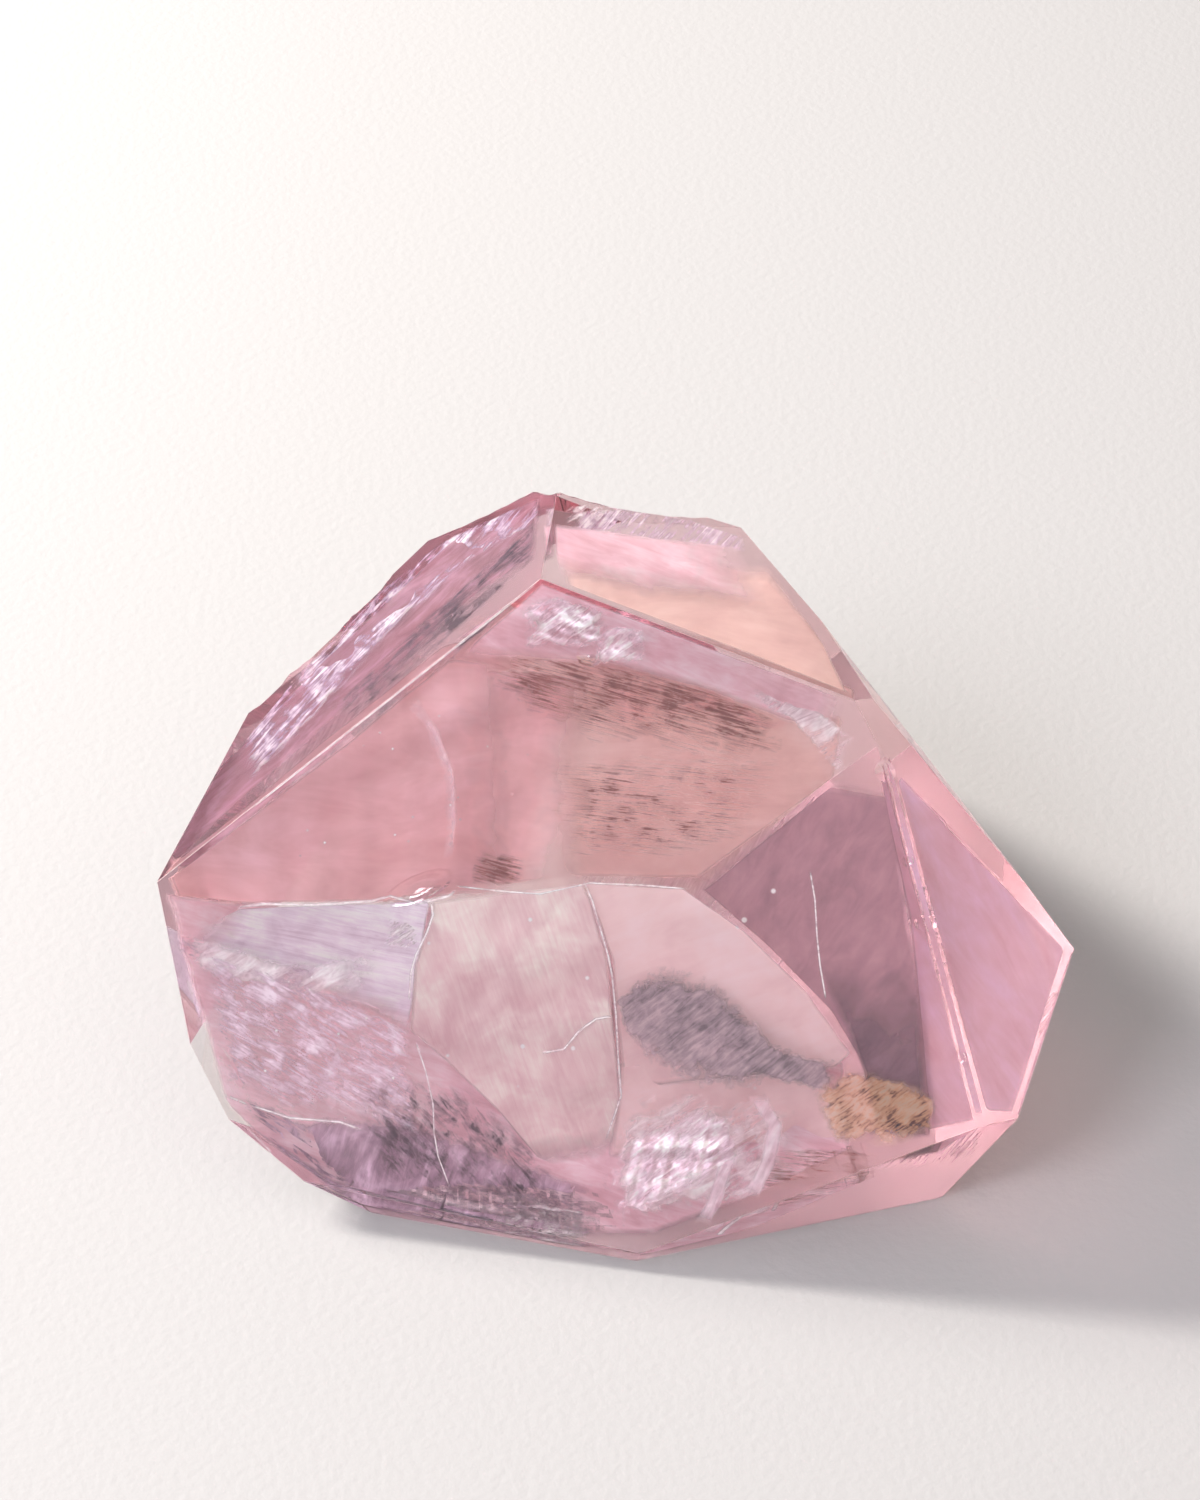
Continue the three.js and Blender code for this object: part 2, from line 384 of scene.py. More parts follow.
# A feathered crack: fine near-upright lines where the break ran, warm white over pale pink.
feathered = film("feathered crack in quartz", ["#EAC2C8", "#F6DCDC", "#FFF8F0"],
                 alpha=(0.88, 1.0), streak=(3, 0.3), cloud=3.5, edges=(0.34, 0.66), fine=0.3, turn=-70,
                 specks=2.2)
# A nearly closed crack: a smooth pale pink sheet with little grain.
pale = film("pale crack in quartz", ["#F6CFD2", "#FFE0E0", "#FFE9EC"],
            alpha=(0.92, 1.0), streak=(7, 1.2), cloud=5, edges=(0.3, 0.7), fine=0.3, turn=20, specks=3.0)
crack("left_plate", frosted,
      top=[(206, 925, 0.6), (241, 908, 0.1), (307, 905, 0.1), (372, 902, 0.2), (431, 900, 0.2)],
      bottom=[(178, 944, 2.4), (246, 968, 3.6), (300, 985, 4), (364, 1013, 4.4), (408, 1036, 4.6)],
      bow=0.8, crumple=0.3, size=3, fades=(0.25, 0.02, 0.01, 0.25), seed=2)
crack("middle_plate", feathered,
      top=[(432, 900, 0.1), (426, 928, 1), (412, 965, 2), (408, 1030, 4.5), (440, 1057, 5.5),
           (500, 1114, 6.5), (550, 1175, 7)],
      bottom=[(583, 882, 0.1), (592, 900, 0.6), (598, 921, 1), (610, 960, 2.2), (618, 1055, 4.8),
              (621, 1096, 6), (612, 1160, 7)],
      bow=-0.6, crumple=0.25, size=3, fades=(0.01, 0.15, 0.01, 0.01), seed=3)
crack("right_plate", pale,
      top=[(584, 882, 0.3), (598, 921, 1.2), (610, 960, 2.4), (618, 1055, 5), (622, 1092, 6.2)],
      bottom=[(683, 888, 0.6), (746, 931, 1.4), (811, 994, 3), (853, 1053, 4.5), (835, 1070, 5)],
      bow=0.5, crumple=0.2, size=4, fades=(0.01, 0.05, 0.01, 0.01), seed=4)
crack("lower_plate", pale,
      top=[(618, 1062, 5.4), (690, 1062, 5.4), (757, 1052, 5), (800, 1066, 5), (850, 1110, 5.5)],
      bottom=[(606, 1160, 6.4), (690, 1162, 6.8), (740, 1158, 6.8), (790, 1152, 6.8), (856, 1138, 6)],
      bow=0.4, crumple=0.3, size=3, fades=(0.04, 0.03, 0.05, 0.15), seed=5)

# Haze and broad veils
# Clouds of bubbles too small to see, and healed cracks as wide as a face, closed in as the quartz
# grew. They soften what lies behind them to an even pink. The peach sheets among them are painted light.

# Fine bubbles give an even, satin pink with no edge of its own.
haze = film("fine bubble haze in quartz", ["#E3A4A6", "#EDB8BC", "#F6CAD2"],
            alpha=(0.75, 0.97), streak=(7, 3), cloud=5, edges=(0.3, 0.7), rough=0.6)
crack("left_haze", haze,
      top=[(168, 880, 1.5), (350, 738, 3), (450, 655, 3), (520, 660, 4)],
      bottom=[(176, 896, 3), (250, 904, 3), (380, 904, 5), (520, 895, 6)],
      bow=1, crumple=0.5, size=6, fades=(0.02, 0.16, 0.04, 0.04), seed=6)
crack("band_haze", haze,
      top=[(450, 664, 5), (520, 668, 5), (610, 676, 5)],
      bottom=[(400, 886, 6), (500, 888, 6), (590, 882, 6)],
      bow=1, crumple=0.5, size=6, fades=(0.3, 0.5, 0.04, 0.03), seed=7)
# Finer bubbles scatter the blue more, so this haze is lavender.
lilac = film("lavender bubble haze in quartz", ["#EAB2C0", "#F8D0DC", "#FFECF4"],
             alpha=(0.75, 0.98), streak=(4, 0.8), cloud=4, edges=(0.34, 0.66), rough=0.6, turn=-20)
crack("top_haze", lilac,
      top=[(541, 582, 0.1), (574, 595, 0.1), (644, 622, 0.1), (760, 667, 0.1), (852, 702, 0.1)],
      bottom=[(452, 660, 3), (500, 662, 3), (599, 668, 3), (690, 690, 3), (790, 726, 3), (846, 742, 3)],
      bow=0.3, crumple=0.1, size=6, fades=(0.02, 0.12, 0.04, 0.3), seed=8)
crack("foot_haze", lilac,
      top=[(165, 892, 4), (300, 906, 7), (450, 902, 8), (583, 893, 9), (683, 895, 9), (746, 938, 9),
           (811, 1002, 8), (845, 1052, 8)],
      bottom=[(224, 1102, 2), (258, 1136, 4), (330, 1186, 5), (470, 1222, 6), (560, 1236, 6),
              (650, 1238, 6), (760, 1195, 6), (855, 1148, 6)],
      bow=0.5, crumple=0.4, size=6, fades=(0.01, 0.02, 0.01, 0.01), seed=9)
# A plum veil: thin and uneven, dark where it is clear, pale lilac where air has got in.
plum = film("plum veil in quartz", ["#8C7086", "#C0A0B8", "#ECD2E8"],
            alpha=(0.55, 0.95), streak=(3, 0.8), cloud=2.5, edges=(0.36, 0.64), rough=0.5, turn=70,
            ragged=1.0)
crack("low_plum", plum,
      top=[(232, 1092, 2), (300, 1112, 4), (400, 1112, 5), (500, 1150, 5.5), (600, 1185, 6)],
      bottom=[(264, 1138, 2), (330, 1184, 3), (470, 1218, 5), (560, 1234, 5.5), (620, 1236, 6)],
      bow=0.3, crumple=0.3, size=3, fades=(0.08, 0.15, 0.3, 0.02), seed=10)
# A rosy veil: a broad smooth sheet that turns lavender where it is thickest.
rosy = film("rosy veil in quartz", ["#D89CAA", "#E2B2C4", "#E8C2DE"],
            alpha=(0.8, 0.98), streak=(8, 2), cloud=6, edges=(0.3, 0.7), rough=0.6, turn=-58)
crack("right_veil", rosy,
      top=[(899, 777, 1), (960, 838, 2), (1010, 888, 2), (1066, 948, 1.5)],
      bottom=[(898, 778, 1), (923, 874, 1), (944, 954, 1), (963, 1030, 1), (985, 1114, 1),
              (1014, 1115, 1.5)],
      bow=0.6, crumple=0.1, size=6, fades=(0.02, 0.01, 0.02, 0.01), seed=11)
crack("ridge_veil", rosy,
      top=[(886, 756, 1), (901, 826, 1), (927, 926, 1), (954, 1030, 1), (976, 1116, 1)],
      bottom=[(891, 768, 1), (907, 826, 1), (933, 926, 1), (961, 1032, 1), (983, 1116, 1)],
      fades=(0.02, 0.02, 0.01, 0.01), seed=58)
crack("edge_veil", rosy,
      top=[(878, 760, 4.6), (888, 820, 4.6), (910, 920, 4.6), (918, 1040, 4.6), (922, 1134, 4.6)],
      bottom=[(882, 762, 1), (897, 820, 1), (926, 930, 1), (954, 1040, 1), (975, 1122, 1)],
      fades=(0.02, 0.02, 0.1, 0.01), seed=52)
# Painted light: a warm thin peach sheet where the lit floor shows through the stone, thin so that the clear
# quartz behind still shows through it.
peachy = film("peach veil of painted light in quartz", ["#FFCFC6", "#FFDAD0", "#FFE8E0"],
              alpha=(0.6, 0.92), streak=(8, 3), cloud=6, edges=(0.3, 0.7), rough=0.6)
crack("window_painted_light", peachy,
      top=[(470, 640, 6), (560, 640, 6.5), (680, 656, 6.5), (846, 715, 6)],
      bottom=[(540, 884, 9), (600, 880, 9), (700, 880, 9), (836, 776, 8)],
      bow=0.5, crumple=0.4, size=6, fades=(0.2, 0.02, 0.15, 0.02), seed=46)
# Painted light over the upper right face, where the lit floor shows through.
crack("crest_painted_light", peachy,
      top=[(556, 556, 3), (690, 560, 3), (768, 562, 3), (822, 640, 3)],
      bottom=[(560, 582, 0.2), (640, 613, 0.2), (700, 636, 0.2), (770, 663, 0.2), (850, 694, 0.2)],
      bow=0.5, crumple=0.1, size=6, fades=(0.06, 0.03, 0.25, 0.02), seed=12)

# Painted shade
# Low on the right the stone looks down to the shaded floor under it, and these sheets paint that shade in.
# A broad sheet under the front face carries the colour, and a smaller one in front of it darkens it towards
# the foot.

# Painted shade: an even mauve-brown, mottled softly, here with a few white specks.
painted_shade = film("painted shade veil in quartz", ["#9C7480", "#B48893", "#C699A3"],
             alpha=(0.92, 1.0), streak=(4, 1.5), cloud=4, edges=(0.32, 0.68), fine=0.5, rough=0.6, turn=60,
             ragged=0.3, specks=2.6)
# The same painted shade where it is darkest: darker, with finer mottling.
deep = film("deep painted shade veil in quartz", ["#715360", "#886674", "#9C7884"],
            alpha=(0.85, 0.98), streak=(3, 1.2), cloud=2.5, edges=(0.32, 0.68), fine=0.5, rough=0.6,
            turn=50, ragged=0.5)
# Painted shade over the dark lower right of the front.
crack("painted_shade", painted_shade,
      top=[(838, 780, 4), (700, 890, 3.6), (760, 940, 3.6), (830, 1010, 3.6), (860, 1060, 3.6),
           (880, 1140, 3.6)],
      bottom=[(888, 788, 4), (910, 880, 4), (922, 960, 4), (929, 1030, 4), (933, 1090, 4),
              (931, 1140, 3.6)],
      bow=0.2, crumple=0.1, size=6, fades=(0.05, 0.03, 0.02, 0.08), seed=13)
crack("low_painted_shade", deep,
      top=[(800, 940, 3), (860, 945, 3), (918, 945, 3)],
      bottom=[(870, 1090, 3.2), (900, 1146, 3.2), (930, 1140, 3.2)],
      bow=0.1, crumple=0.1, size=4, fades=(0.3, 0.12, 0.7, 0.1), seed=45)

# Brown feathers
# Iron oxide has crept into the finest cracks with water and dried there in brown strokes. Each
# feather is one crack under the front face.

# Iron oxide is matt brown. Its strokes run along the crack, and the finest of them are drawn
# 0.15 mm wide so that they show.
brown = film("iron oxide strokes in quartz", ["#D49A92", "#A2645E", "#6E3C38"],
             alpha=(0.0, 0.96), streak=(2.4, 0.15), cloud=1.8, edges=(0.42, 0.58), fine=0.6, rough=0.7,
             turn=-16, ragged=1.8)
crack("upper_feather", brown,
      top=[(454, 656, 2.2), (491, 656, 2.2), (544, 658, 2.2), (599, 663, 2.2), (680, 682, 2.2),
           (747, 706, 2.2), (800, 730, 2.2)],
      bottom=[(478, 676, 2.4), (520, 722, 2.4), (575, 752, 2.4), (650, 766, 2.4), (730, 772, 2.4),
              (806, 752, 2.4)],
      bow=0.1, crumple=0.1, size=3, fades=(0.25, 0.2, 0.03, 0.7), seed=14)
# The same strokes where the oxide is thin, with clear quartz between them.
sparse = film("sparse iron oxide strokes in quartz", ["#D8A49A", "#A86C64", "#74423E"],
              alpha=(0.0, 0.9), streak=(2.0, 0.13), cloud=1.7, edges=(0.46, 0.62), fine=0.62, rough=0.7,
              turn=-6, ragged=1.4)
crack("lower_feather", sparse,
      top=[(528, 764, 2.4), (600, 744, 2.4), (700, 744, 2.4), (830, 752, 2.4)],
      bottom=[(548, 866, 2.6), (620, 876, 2.6), (690, 868, 2.6), (770, 836, 2.6)],
      bow=0.1, crumple=0.1, size=3, fades=(0.25, 0.4, 0.3, 0.35), seed=51)
crack("low_strokes", brown,
      top=[(465, 850, 2), (500, 846, 2), (530, 858, 2)],
      bottom=[(462, 886, 2.2), (500, 887, 2.2), (530, 884, 2.2)],
      bow=0.2, crumple=0.1, size=3, fades=(0.35, 0.35, 0.4, 0.2), seed=16)
crack("foot_strokes", sparse,
      top=[(742, 1156, 2.8), (790, 1146, 2.8), (850, 1146, 2.8), (890, 1158, 2.8)],
      bottom=[(738, 1200, 3.2), (790, 1194, 3.2), (850, 1184, 3.2), (893, 1172, 3.2)],
      crumple=0.1, size=3, fades=(0.2, 0.3, 0.2, 0.3), seed=55)

# Bright flakes
# Small open cracks at many angles, filled with air, that catch the lamp like foil. Silky folds
# stand between them low on the front. The white glow low on the front and along the left plate is partly
# painted highlight.

# Flakes of air in a crack: white streaks with clear quartz between them.
flaked = film("flaked crack in quartz", ["#F6D2E4", "#FFF4FA", "#FFFFFF"],
              alpha=(0.0, 1.0), streak=(2.0, 0.3), cloud=1.2, edges=(0.46, 0.6), rough=0.3, metal=0.1,
              turn=34, ragged=1.4)
# Thicker flakes: a film of air that mirrors the light like foil, so it is bright and uneven.
glint = film("silvery flakes in quartz", ["#F2D0E2", "#FCE4F2", "#FFFFFF"],
             alpha=(0.25, 1.0), streak=(1.6, 0.3), cloud=1.3, edges=(0.4, 0.58), rough=0.35, metal=0.75,
             turn=36, ragged=1.4, bump=0.12)
crack("fan_flakes", glint,
      top=[(514, 606, 0.1), (556, 590, 0.1), (612, 612, 0.1)],
      bottom=[(520, 650, 0.9), (570, 652, 0.9), (616, 640, 0.7)],
      crumple=0.1, size=1.2, fades=(0.3, 0.3, 0.3, 0.3), seed=18)
crack("patch_flakes", glint,
      top=[(592, 632, 0.4), (620, 620, 0.3), (650, 628, 0.2)],
      bottom=[(588, 668, 1), (620, 668, 1), (650, 664, 0.8)],
      crumple=0.1, size=1.2, fades=(0.3, 0.3, 0.3, 0.3), seed=19)
# A silky crack: soft pinkish white that fades out at its border. Low on the front and along the left plate
# it is also a painted highlight for the sparkle there.
glow = film("silky crack and painted sparkle in quartz", ["#F6CFE2", "#FFF2F9", "#FFFFFF"],
            alpha=(0.0, 0.95), streak=(3.0, 0.7), cloud=2.2, edges=(0.36, 0.6), rough=0.5, turn=30,
            ragged=1.6, specks=1.0)
# A silky fold: a half-clear pale pink sheet with a faint grain.
silky = film("silky fold in quartz", ["#EFC9DB", "#F8DEEC", "#FFF4FA"],
             alpha=(0.35, 0.8), streak=(3.0, 0.5), cloud=1.6, edges=(0.36, 0.62), rough=0.5, turn=60,
             ragged=0.6)
# Painted highlight: a soft white sparkle low on the front, over a silky crack.
crack("low_painted_sparkle", glow,
      top=[(600, 1140, 2.2), (640, 1090, 2.2), (690, 1078, 2.2), (745, 1092, 2.2), (810, 1110, 2.2)],
      bottom=[(584, 1232, 3), (650, 1234, 3), (704, 1226, 3), (750, 1208, 3), (810, 1180, 3)],
      bow=0.4, crumple=0.2, size=3, fades=(0.35, 0.4, 0.35, 0.35), seed=48)
# Painted highlight along the lower edge of the left plate.
crack("left_painted_highlight", glow,
      top=[(172, 922, 0.8), (240, 944, 1.6), (300, 954, 2), (400, 940, 2)],
      bottom=[(180, 962, 1), (240, 990, 1.8), (300, 1002, 2.2), (410, 1000, 2.4)],
      crumple=0.2, size=2.5, fades=(0.2, 0.4, 0.5, 0.5), seed=49)
crack("foot_glow", glow,
      top=[(480, 1205, 4), (540, 1200, 4), (600, 1210, 4)],
      bottom=[(490, 1232, 4.4), (545, 1238, 4.4), (600, 1240, 4.4)],
      crumple=0.2, size=2.5, fades=(0.3, 0.3, 0.3, 0.2), seed=50)
crack("low_flakes", glint,
      top=[(600, 1170, 1.2), (632, 1118, 1.2), (680, 1096, 1.2), (724, 1104, 1.2), (760, 1120, 1.2)],
      bottom=[(596, 1226, 1.6), (640, 1222, 1.6), (684, 1206, 1.6), (726, 1180, 1.6), (764, 1150, 1.6)],
      bow=0.2, crumple=0.25, size=1.6, fades=(0.4, 0.4, 0.45, 0.4), seed=20)
crack("inner_edge", silky,
      top=[(400, 700, 2.4), (424, 734, 2.4), (440, 776, 2.4), (443, 822, 2.4), (438, 870, 2.4)],
      bottom=[(414, 692, 2.5), (440, 728, 2.5), (457, 772, 2.5), (459, 822, 2.5), (453, 870, 2.5)],
      crumple=0.05, size=1.2, fades=(0.4, 0.3, 1.2, 0.5), seed=56)
crack("fold_a", silky,
      top=[(706, 1118, 2), (716, 1160, 2), (706, 1196, 2), (690, 1228, 2)],
      bottom=[(722, 1112, 2.1), (738, 1160, 2.1), (726, 1200, 2.1), (708, 1230, 2.1)],
      crumple=0.1, size=1.2, fades=(0.2, 0.2, 0.35, 0.35), seed=53)
crack("fold_b", silky,
      top=[(744, 1092, 2), (764, 1126, 2), (758, 1160, 2), (742, 1194, 2)],
      bottom=[(764, 1088, 2.1), (786, 1126, 2.1), (778, 1166, 2.1), (756, 1206, 2.1)],
      crumple=0.1, size=1.2, fades=(0.2, 0.2, 0.35, 0.35), seed=54)
crack("knot_flakes", glow,
      top=[(740, 666, 1.6), (790, 682, 1.6), (834, 716, 1.6), (862, 742, 1.6)],
      bottom=[(748, 696, 2), (790, 724, 2), (822, 758, 2), (846, 786, 2)],
      crumple=0.2, size=1.2, fades=(0.3, 0.3, 0.3, 0.3), seed=21)
crack("peak_flakes", flaked,
      top=[(562, 512, 0.3), (572, 504, 0.3), (584, 502, 0.3), (612, 508, 0.3)],
      bottom=[(564, 530, 0.9), (574, 526, 0.9), (588, 524, 0.9), (616, 524, 0.9)],
      crumple=0.1, size=1.2, fades=(0.2, 0.3, 0.2, 0.4), seed=47)
crack("corner_flakes", flaked,
      top=[(384, 912, 0.8), (404, 906, 0.8), (430, 908, 0.8)],
      bottom=[(378, 950, 1.8), (400, 956, 1.8), (418, 952, 1.8)],
      crumple=0.1, size=1.2, fades=(0.4, 0.3, 0.2, 0.4), seed=22)

# Painted-shade crack and iron stain
# An open crack under the right plate, painted grey-mauve for the shade it shows where it turns the light
# away, and beside its tail the rusty stain of the iron that came in by it.

# An open crack that turns the light away: its grey-mauve is painted shade, and its fine pale scratches are
# its own.
dark = film("open crack with painted shade in quartz", ["#DCC4CC", "#AC98A1", "#75676F"],
            alpha=(0.72, 0.98), streak=(1.5, 0.24), cloud=1.1, edges=(0.35, 0.62), rough=0.5, turn=38,
            ragged=1.2, specks=1.4)
crack("shaded_crack_patch", dark,
      top=[(612, 1006, 2.6), (640, 970, 2.6), (680, 962, 2.6), (712, 972, 2.6), (738, 996, 2.6),
           (756, 1020, 2.6), (772, 1040, 2.6), (804, 1052, 2.6), (842, 1060, 2.6)],
      bottom=[(616, 1016, 2.8), (642, 1058, 2.8), (662, 1078, 2.8), (690, 1090, 2.8), (718, 1096, 2.8),
              (745, 1090, 2.8), (768, 1086, 2.8), (804, 1090, 2.8), (842, 1100, 2.8)],
      crumple=0.1, size=2, fades=(0.1, 0.1, 0.3, 0.3), seed=23)
# Iron stain: peach to rusty brown, matt, with dark hair lines.
rust = film("iron stain in quartz", ["#F8D6B4", "#D8A47C", "#5C3630"],
            alpha=(0.5, 0.97), streak=(0.9, 0.16), cloud=1.2, edges=(0.4, 0.6), fine=0.6, rough=0.7,
            turn=34, ragged=1.0)
crack("rust_stain", rust,
      top=[(806, 1096, 1.6), (846, 1050, 1.6), (904, 1074, 1.6), (940, 1096, 1.6)],
      bottom=[(830, 1144, 2), (862, 1158, 2), (900, 1150, 2), (936, 1134, 2)],
      bow=0.2, crumple=0.2, size=1.5, fades=(0.2, 0.12, 0.35, 0.35), seed=24)

# Lower left veils
# Healed cracks in steps down the left side of the front, grey-lavender with pale streaks, and
# grey-plum painted shade where the steps turn away from the light.

# A veil in streaks: lavender-white strokes that slope down to the right.
streaked = film("streaked veil in quartz", ["#DDBAD2", "#ECD2E8", "#FBF0FC"],
                alpha=(0.0, 0.9), streak=(2.4, 0.34), cloud=1.4, edges=(0.42, 0.62), rough=0.4, turn=-30,
                ragged=1.6, specks=1.4)
crack("left_streaks", streaked,
      top=[(188, 940, 1), (260, 965, 1.5), (340, 990, 2), (415, 1030, 2.5)],
      bottom=[(220, 1096, 1.5), (290, 1120, 2), (360, 1130, 2.5), (425, 1150, 3)],
      bow=0.6, crumple=0.5, size=2.5, fades=(0.15, 0.1, 0.1, 0.3), seed=25)
crack("left_band", streaked,
      top=[(170, 930, 1), (240, 956, 2.5), (330, 968, 3.5)],
      bottom=[(176, 952, 1.4), (240, 980, 3), (330, 996, 4)],
      crumple=0.3, size=2.5, fades=(0.1, 0.2, 0.3, 0.3), seed=26)
# Painted shade: grey-plum blotches, matt, with clear quartz between them.
painted_shade_blotches = film("painted shade blotches in quartz", ["#B090A0", "#7A5C6C", "#4C3A46"],
                alpha=(0.0, 0.9), streak=(1.8, 0.45), cloud=1.5, edges=(0.45, 0.6), rough=0.6, turn=-48,
                ragged=1.2)
crack("left_painted_shade", painted_shade_blotches,
      top=[(340, 1080, 4), (400, 1066, 4.5), (470, 1080, 5), (560, 1165, 5.5)],
      bottom=[(360, 1186, 4), (410, 1200, 4.5), (470, 1205, 5), (560, 1222, 5.5)],
      bow=0.3, crumple=0.3, size=3, fades=(0.2, 0.2, 0.25, 0.3), seed=27)

# Crest veils
# The broken crest and the cracks that run in from it, seen through the upper faces as lavender
# patches, white threads and grey strokes.

# Mauve haze: bubble haze darkened with painted shade where the shoulder is in shade, with a soft grain
# along the shoulder.
mauve = film("bubble haze with painted shade in quartz", ["#8E5A68", "#AA7686", "#CEA0B4"],
             alpha=(0.6, 0.92), streak=(5, 0.7), cloud=4, edges=(0.34, 0.66), rough=0.6, turn=40)
crack("shoulder_haze", mauve,
      top=[(170, 860, 1.4), (218, 770, 1.4), (322, 662, 1.4), (452, 540, 1.4), (545, 494, 1.4)],
      bottom=[(174, 863, 2), (250, 800, 3), (350, 716, 3), (470, 612, 3), (538, 560, 3)],
      bow=0.5, crumple=0.5, size=5, fades=(0.02, 0.03, 0.02, 0.25), seed=28)
# A laced veil: bright lavender-white threads along the crest.
laced = film("laced veil in quartz", ["#C8A4CC", "#E2CAEC", "#FFFAFF"],
             alpha=(0.0, 0.92), streak=(3.0, 0.3), cloud=1.8, edges=(0.44, 0.58), rough=0.4, turn=48,
             ragged=1.2, specks=1.2)
crack("shoulder_streaks", laced,
      top=[(232, 754, 1), (300, 670, 1), (380, 590, 1), (448, 537, 1), (540, 496, 1)],
      bottom=[(246, 790, 2), (330, 706, 2), (405, 622, 2), (475, 560, 2), (546, 520, 2)],
      bow=0.5, crumple=0.5, size=2, fades=(0.1, 0.05, 0.1, 0.3), seed=29)
# Grey strokes: thin dark cracks seen edge on.
strokes = film("grey strokes in quartz", ["#A88C9C", "#6E5A68", "#4C3E48"],
               alpha=(0.0, 0.9), streak=(3, 0.3), cloud=2, edges=(0.42, 0.58), rough=0.6, turn=42,
               ragged=0.8)
crack("shoulder_dark", strokes,
      top=[(325, 712, 2), (430, 612, 2), (545, 508, 2)],
      bottom=[(346, 724, 2.5), (460, 632, 2.5), (540, 556, 2.5)],
      bow=0.3, crumple=0.3, size=2, fades=(0.1, 0.1, 0.2, 0.2), seed=30)
crack("crest_streaks", laced,
      top=[(566, 508, 4.6), (620, 505, 4.8), (690, 517, 4.6), (750, 538, 4.2)],
      bottom=[(568, 542, 4.4), (630, 542, 4.4), (690, 547, 4.4), (752, 555, 4)],
      bow=0.3, crumple=0.4, size=2, fades=(0.1, 0.1, 0.2, 0.3), seed=31)
crack("crest_patches", lilac,
      top=[(553, 522, 2), (620, 530, 2), (700, 540, 2), (760, 549, 2)],
      bottom=[(556, 578, 0.8), (640, 606, 0.8), (710, 608, 0.8), (796, 614, 0.8)],
      crumple=0.15, size=2, fades=(0.02, 0.45, 0.12, 0.6), seed=32)

# Deep veils
# Healed cracks run on through the back half of the stone, behind what the photograph shows.
# They give the sides and the back the same cloudy depth as the front; their places are a guess.
crack("deep_left_veil", silky,
      top=[(250, 800, 12), (380, 690, 14), (520, 610, 14)],
      bottom=[(300, 980, 20), (420, 900, 22), (560, 800, 24)],
      bow=1.5, crumple=0.6, size=5, fades=(0.35, 0.35, 0.35, 0.35), seed=61)
crack("deep_middle_veil", silky,
      top=[(560, 640, 10), (680, 680, 12), (820, 740, 12)],
      bottom=[(520, 900, 24), (680, 960, 26), (840, 960, 22)],
      bow=-1.5, crumple=0.6, size=6, fades=(0.35, 0.35, 0.35, 0.35), seed=62)
crack("deep_right_veil", laced,
      top=[(780, 700, 12), (860, 800, 14), (960, 900, 12)],
      bottom=[(740, 980, 26), (840, 1040, 26), (960, 1080, 18)],
      bow=1.0, crumple=0.6, size=5, fades=(0.35, 0.35, 0.35, 0.35), seed=63)
crack("deep_low_veil", silky,
      top=[(360, 1020, 10), (520, 1060, 12), (700, 1060, 12)],
      bottom=[(420, 1150, 16), (560, 1180, 18), (720, 1150, 18)],
      bow=1.0, crumple=0.6, size=5, fades=(0.35, 0.35, 0.35, 0.35), seed=64)

# Hairlines and a painted edge highlight
# Where a plate breaks through the polish the quartz is chipped to a thin white line. Along the upper left
# edge the same thin white line is a painted highlight. Deeper lines are the rims of plates and steps.

# Chipped quartz is matt and white, and its line is broken here and there. The painted edge highlight uses
# the same matt white.
white = film("chipped hairline and painted edge highlight in quartz", ["#FFF0F6", "#FFFFFF"],
             alpha=(0.55, 1.0), streak=(0.7, 0.3), cloud=1.2, edges=(0.4, 0.55), rough=0.6, ragged=0.0)


def hairline(name, path, width, seed):
    """A chipped line, or a painted highlight along an edge: a narrow crack along a path of (x, y, depth),
    width photograph pixels wide.
    Its two edges are the path moved half the width to each side, square to its own direction."""
    path = np.array(path, float)
    step = np.gradient(path[:, :2], axis=0)
    out = np.stack([-step[:, 1], step[:, 0]], 1) / np.linalg.norm(step, axis=1, keepdims=True) * width / 2
    near, far = path.copy(), path.copy()
    near[:, :2] -= out
    far[:, :2] += out
    crack(name, white, top=near, bottom=far, crumple=0.03, size=0.5,
          fades=(0.06, 0.06, 0.3, 0.3), seed=seed, grid=(160, 4))


hairline("hairline", width=3.5, seed=33,
         path=[(236, 911, 0.05), (241, 907, 0.05), (263, 904, 0.05), (307, 905, 0.05), (334, 904, 0.05),
               (372, 901, 0.3), (389, 896, 0.36), (416, 904, 0.36), (430, 901, 0.36), (449, 896, 0.3),
               (457, 889, 0.2)])
hairline("faint_line", width=2.0, seed=34,
         path=[(455, 886, 0.05), (500, 891, 0.05), (540, 894, 0.05), (590, 883, 0.05), (640, 885, 0.05),
               (690, 889, 0.05)])
hairline("plate_edge", width=2.6, seed=35,
         path=[(583, 880, 0.05), (592, 900, 0.2), (598, 921, 0.5), (608, 955, 1.3), (612, 975, 1.8),
               (616, 1016, 2.8), (618, 1055, 3.9), (621, 1096, 5.1), (616, 1111, 5.4), (605, 1142, 5.8)])
hairline("hackle_line", width=3.0, seed=36,
         path=[(542, 1053, 3.8), (564, 1049, 3.8), (579, 1031, 3.5), (596, 1019, 3.4), (613, 1016, 3.4)])
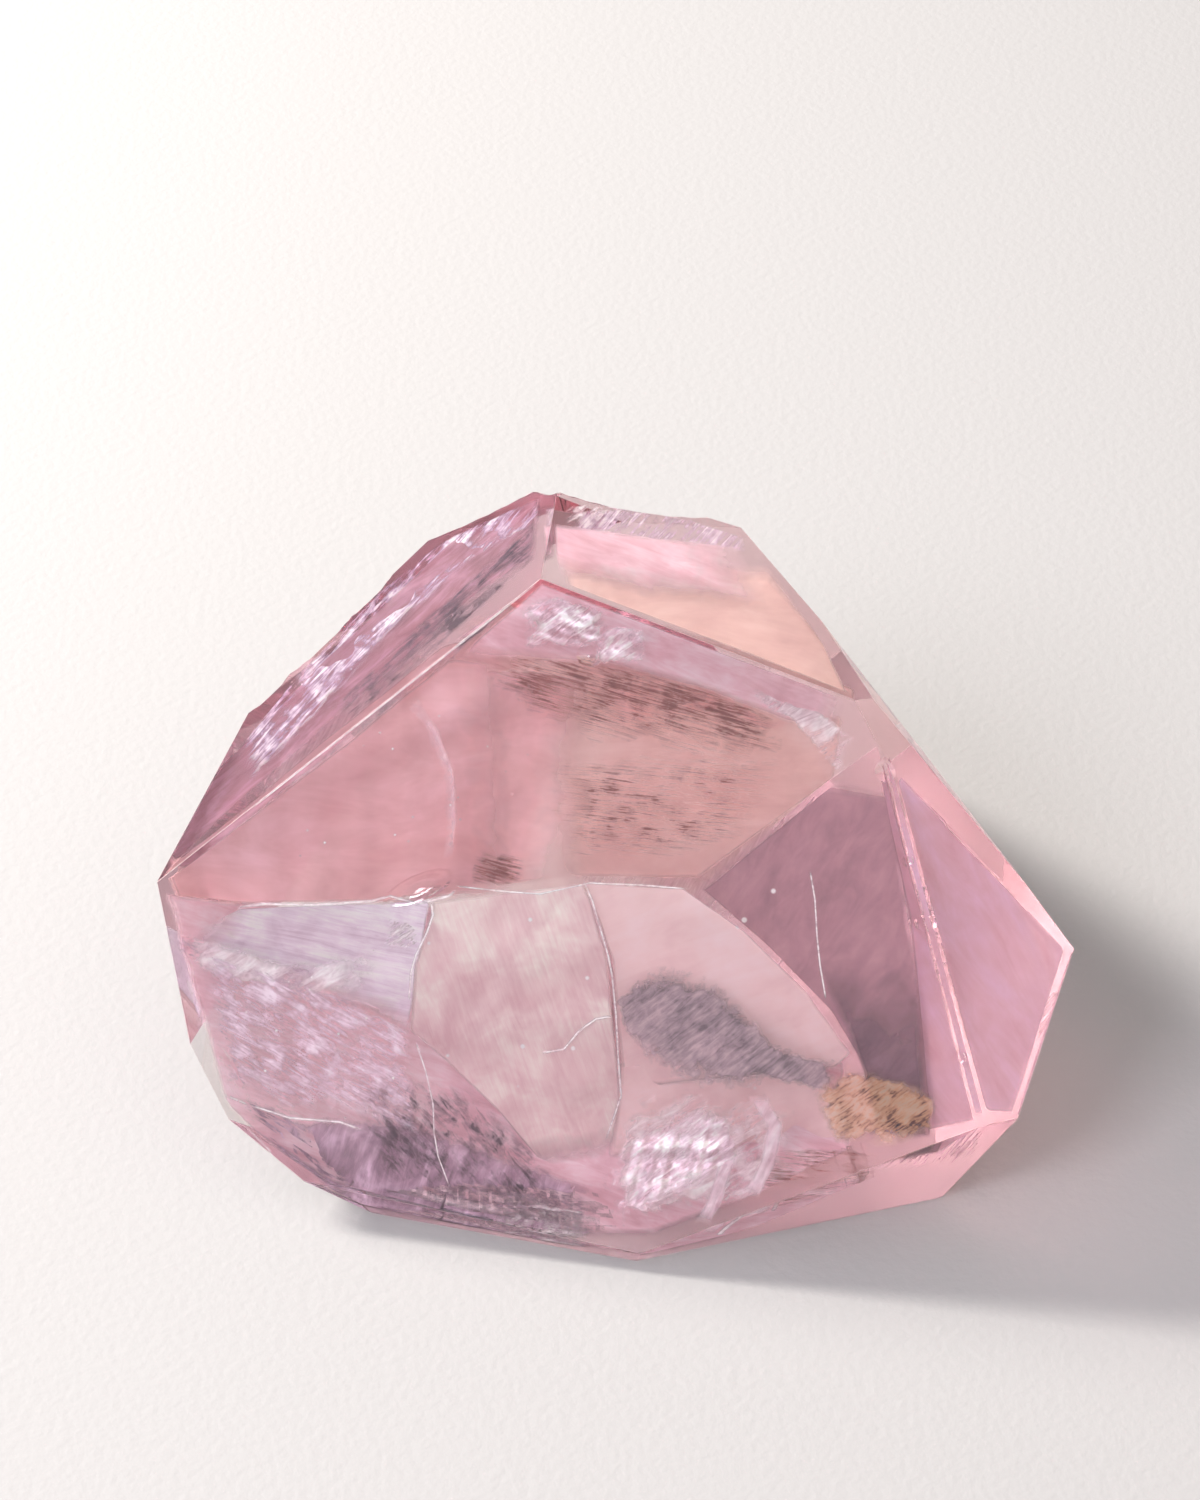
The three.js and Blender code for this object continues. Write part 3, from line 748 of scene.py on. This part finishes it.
hairline("left_edge", width=3.0, seed=37,
         path=[(431, 901, 0.04), (433, 915, 0.2), (427, 932, 0.5), (416, 955, 1.0), (411, 972, 1.5),
               (409, 1000, 2.4)])
# Painted highlight: the thin white line along the upper left edge, where the polished edge catches the
# light.
hairline("upper_edge_highlight", width=1.6, seed=65,
         path=[(250, 810, 0.04), (400, 691.5, 0.04), (538, 582.5, 0.04)])
hairline("low_line", width=2.0, seed=40,
         path=[(416, 1042, 3), (426, 1072, 3.1), (433, 1104, 3.2), (434, 1132, 3.2), (438, 1156, 3.3),
               (450, 1188, 3.4)])
hairline("step_line", width=3.0, seed=41,
         path=[(222, 1094, 1), (250, 1105, 1.6), (290, 1118, 2), (340, 1122, 2.4), (362, 1130, 2.6)])
hairline("tall_streak", width=2.4, seed=42,
         path=[(810, 870, 2), (815, 900, 2.1), (817, 936, 2.3), (820, 965, 2.4), (826, 1000, 2.6)])
hairline("rib_a", width=6.0, seed=43,
         path=[(781, 1120, 4), (772, 1142, 4.2), (764, 1165, 4.4), (761, 1185, 4.6)])
hairline("rib_b", width=8.0, seed=44,
         path=[(730, 1180, 4.4), (716, 1196, 4.6), (707, 1212, 4.8)])

# Dust
# Specks of dust on the polish of the front face. They are set just under it, on a sheet that
# can't be seen itself.

# Dust is matt and white: single specks 0.1 to 0.2 mm across, and nothing between them.
dust = film("dust on quartz", ["#FFFFFF", "#FFFFFF"],
            alpha=(0.0, 0.0), streak=(1, 1), cloud=2, edges=(0.4, 0.6), rough=0.8, specks=1.1)
crack("front_dust", dust,
      top=[(190, 862, 0.06), (340, 742, 0.06), (480, 640, 0.06), (560, 636, 0.06)],
      bottom=[(230, 884, 0.06), (340, 868, 0.06), (480, 856, 0.06), (560, 856, 0.06)],
      fades=(0.2, 0.5, 0.2, 0.2), seed=57)

# Finish
# Plain view colours, and enough bounces for light to cross the stone and the veils in it.
bpy.context.scene.view_settings.view_transform = "Standard"
bpy.context.scene.cycles.max_bounces = 12
bpy.context.scene.cycles.transmission_bounces = 12
bpy.context.scene.cycles.glossy_bounces = 6
bpy.context.scene.cycles.diffuse_bounces = 2
bpy.context.scene.cycles.transparent_max_bounces = 12
